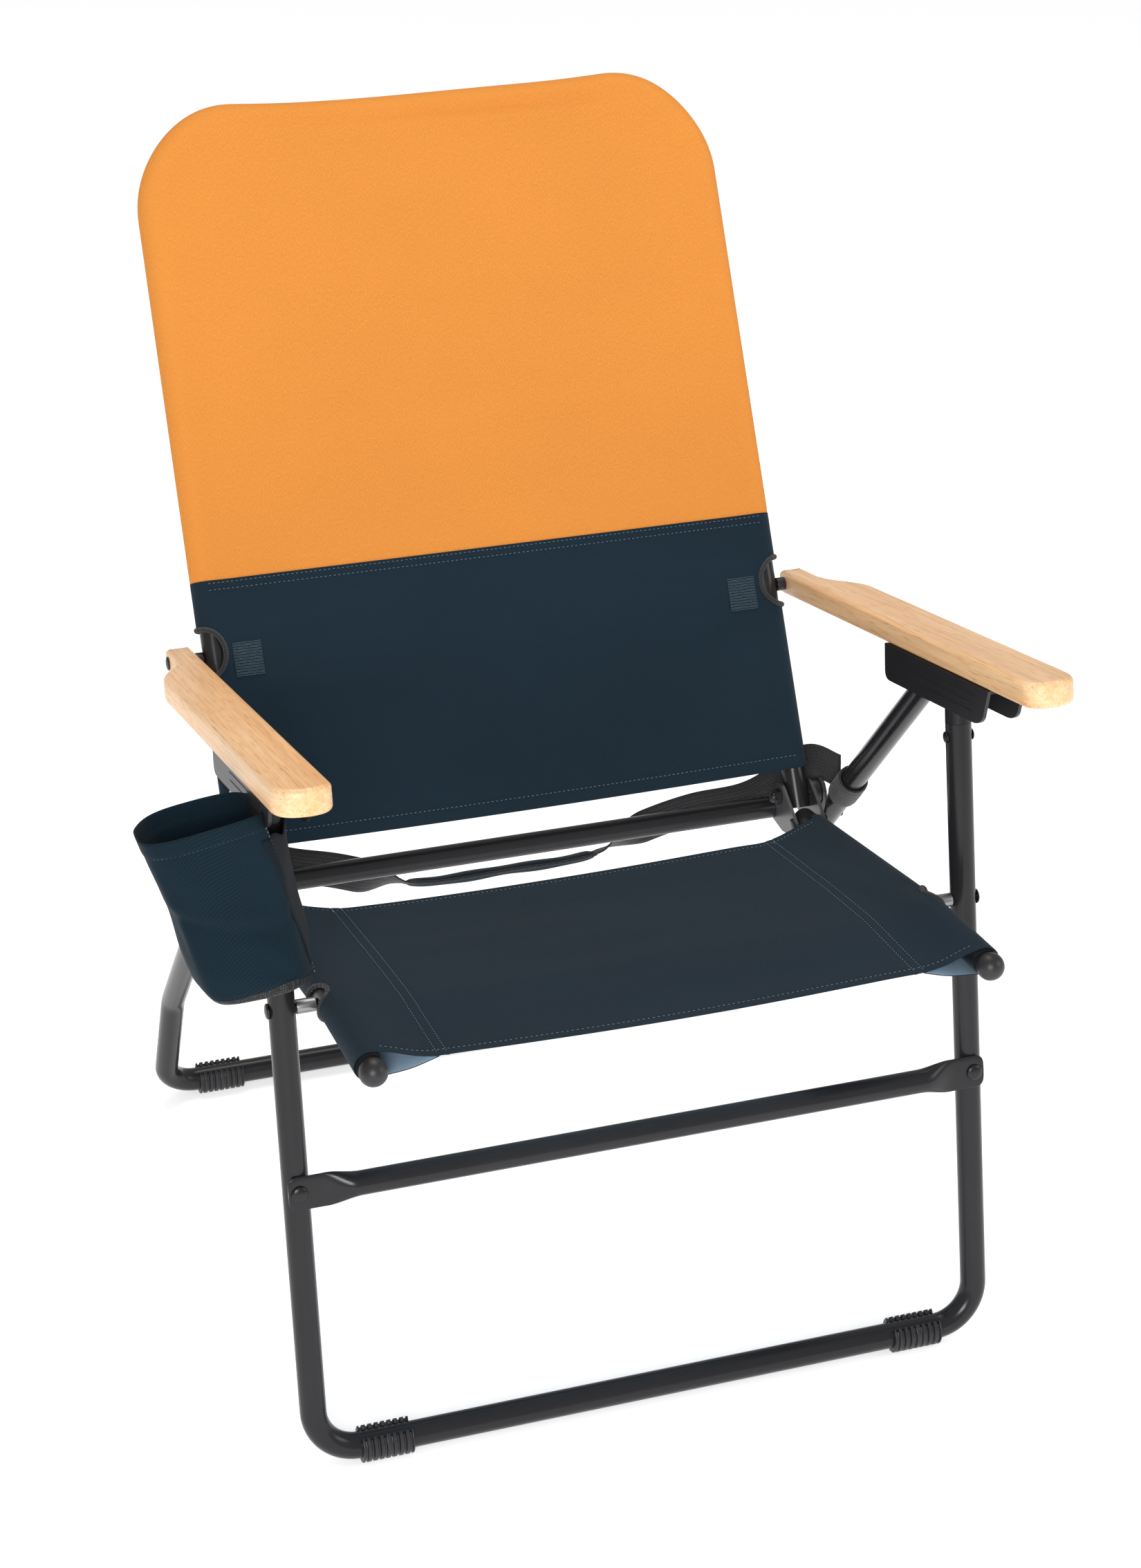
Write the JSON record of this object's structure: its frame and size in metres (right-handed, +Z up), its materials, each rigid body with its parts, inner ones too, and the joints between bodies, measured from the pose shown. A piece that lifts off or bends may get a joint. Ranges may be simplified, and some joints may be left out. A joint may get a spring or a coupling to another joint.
{
  "type": "folding beach chair",
  "caption": "High-back folding beach chair with steel tube frames, two-tone fabric slings, wooden armrests, a cup pocket and a carry strap.",
  "frame": {"origin": "middle of the bounding box's bottom, on the ground the chair stands on", "axes": "+Z up, the sitter faces -Y, +X to the sitter's left"},
  "size_m": [0.7466, 0.7644, 0.9686],
  "materials": {
    "tube_paint": "satin dark grey powder coat",
    "black_steel": "black, low gloss",
    "steel": "plain zinc",
    "black_plastic": "moulded, fine texture",
    "wood": "clear satin varnish",
    "navy_fabric": "twill-woven polyester",
    "orange_fabric": "twill-woven polyester",
    "black_webbing": "woven webbing"
  },
  "bodies": {
    "seat": {"seat_sling": "navy_fabric", "seat_cross_tube": "tube_paint", "seat_rail_left": "tube_paint", "seat_rail_right": "tube_paint", "seat_end_cap_left": "black_plastic", "seat_end_cap_right": "black_plastic", "seat_yoke_left": "tube_paint", "seat_yoke_right": "tube_paint", "yoke_rivet_left": "black_steel", "yoke_rivet_right": "black_steel", "seat_pivot_spacer_left": "steel", "seat_pivot_spacer_right": "steel", "seat_pivot_rivet_left": "black_steel", "seat_pivot_rivet_right": "black_steel", "hinge_bolt_left": "black_steel", "hinge_bolt_right": "black_steel", "hinge_nut_left": "black_steel", "hinge_nut_right": "black_steel", "hinge_disc_left": "black_plastic", "hinge_disc_right": "black_plastic"},
    "front_legs": {"front_leg_frame": "tube_paint", "front_cross_tube": "tube_paint", "cup_pocket": "navy_fabric", "front_cross_rivet_left": "black_steel", "front_cross_rivet_right": "black_steel", "front_foot_pad_left": "black_plastic", "front_foot_pad_right": "black_plastic", "front_leg_plug_left": "black_plastic", "front_leg_plug_right": "black_plastic", "front_plug_rivet_left": "steel", "front_plug_rivet_right": "steel"},
    "rear_legs": {"rear_leg_frame": "tube_paint", "strap_webbing": "black_webbing", "strap_pad": "navy_fabric", "rear_foot_pad_left": "black_plastic", "rear_foot_pad_right": "black_plastic", "rear_leg_plug_left": "black_plastic", "rear_leg_plug_right": "black_plastic", "rear_leg_bracket_left": "tube_paint", "rear_leg_bracket_right": "tube_paint", "bracket_rivet_left": "black_steel", "bracket_rivet_right": "black_steel"},
    "back": {"back_tube": "tube_paint", "back_panel_lower": "navy_fabric", "back_panel_upper": "orange_fabric", "arm_spacer_left": "black_plastic", "arm_spacer_right": "black_plastic", "arm_pivot_bolt_left": "black_steel", "arm_pivot_bolt_right": "black_steel"},
    "arm_left": {"armrest_left": "wood", "arm_housing_left": "black_plastic", "housing_screw_rear_left": "steel", "housing_screw_front_left": "steel"},
    "arm_right": {"armrest_right": "wood", "arm_housing_right": "black_plastic", "housing_screw_rear_right": "steel", "housing_screw_front_right": "steel"}
  },
  "joints": [
    {"name": "back_hinge", "type": "hinge", "parent": "seat", "child": "back", "pos_m": [0.04625, 0.04454, 0.3652], "axis": [1, 0, 0], "range_deg": [0, 94.5]},
    {"name": "front_legs_hinge", "type": "hinge", "parent": "seat", "child": "front_legs", "pos_m": [0.04625, -0.23616, 0.397], "axis": [1, 0, 0], "range_deg": [0, 76.9]},
    {"name": "rear_legs_hinge", "type": "hinge", "parent": "seat", "child": "rear_legs", "pos_m": [0.04625, 0.04454, 0.3652], "axis": [1, 0, 0], "range_deg": [0, 32.6]},
    {"name": "arm_left_hinge", "type": "hinge", "parent": "back", "child": "arm_left", "pos_m": [0.04625, 0.1387, 0.53641], "axis": [1, 0, 0], "range_deg": [-94.6, 0]},
    {"name": "arm_right_hinge", "type": "hinge", "parent": "back", "child": "arm_right", "pos_m": [0.04625, 0.1387, 0.53641], "axis": [1, 0, 0], "range_deg": [-94.6, 0]}
  ],
  "couplings": [
    {"joint": "front_legs_hinge", "follows": "back_hinge", "ratio": 0.813},
    {"joint": "rear_legs_hinge", "follows": "back_hinge", "ratio": 0.344},
    {"joint": "arm_left_hinge", "follows": "back_hinge", "ratio": -1},
    {"joint": "arm_right_hinge", "follows": "back_hinge", "ratio": -1}
  ]
}
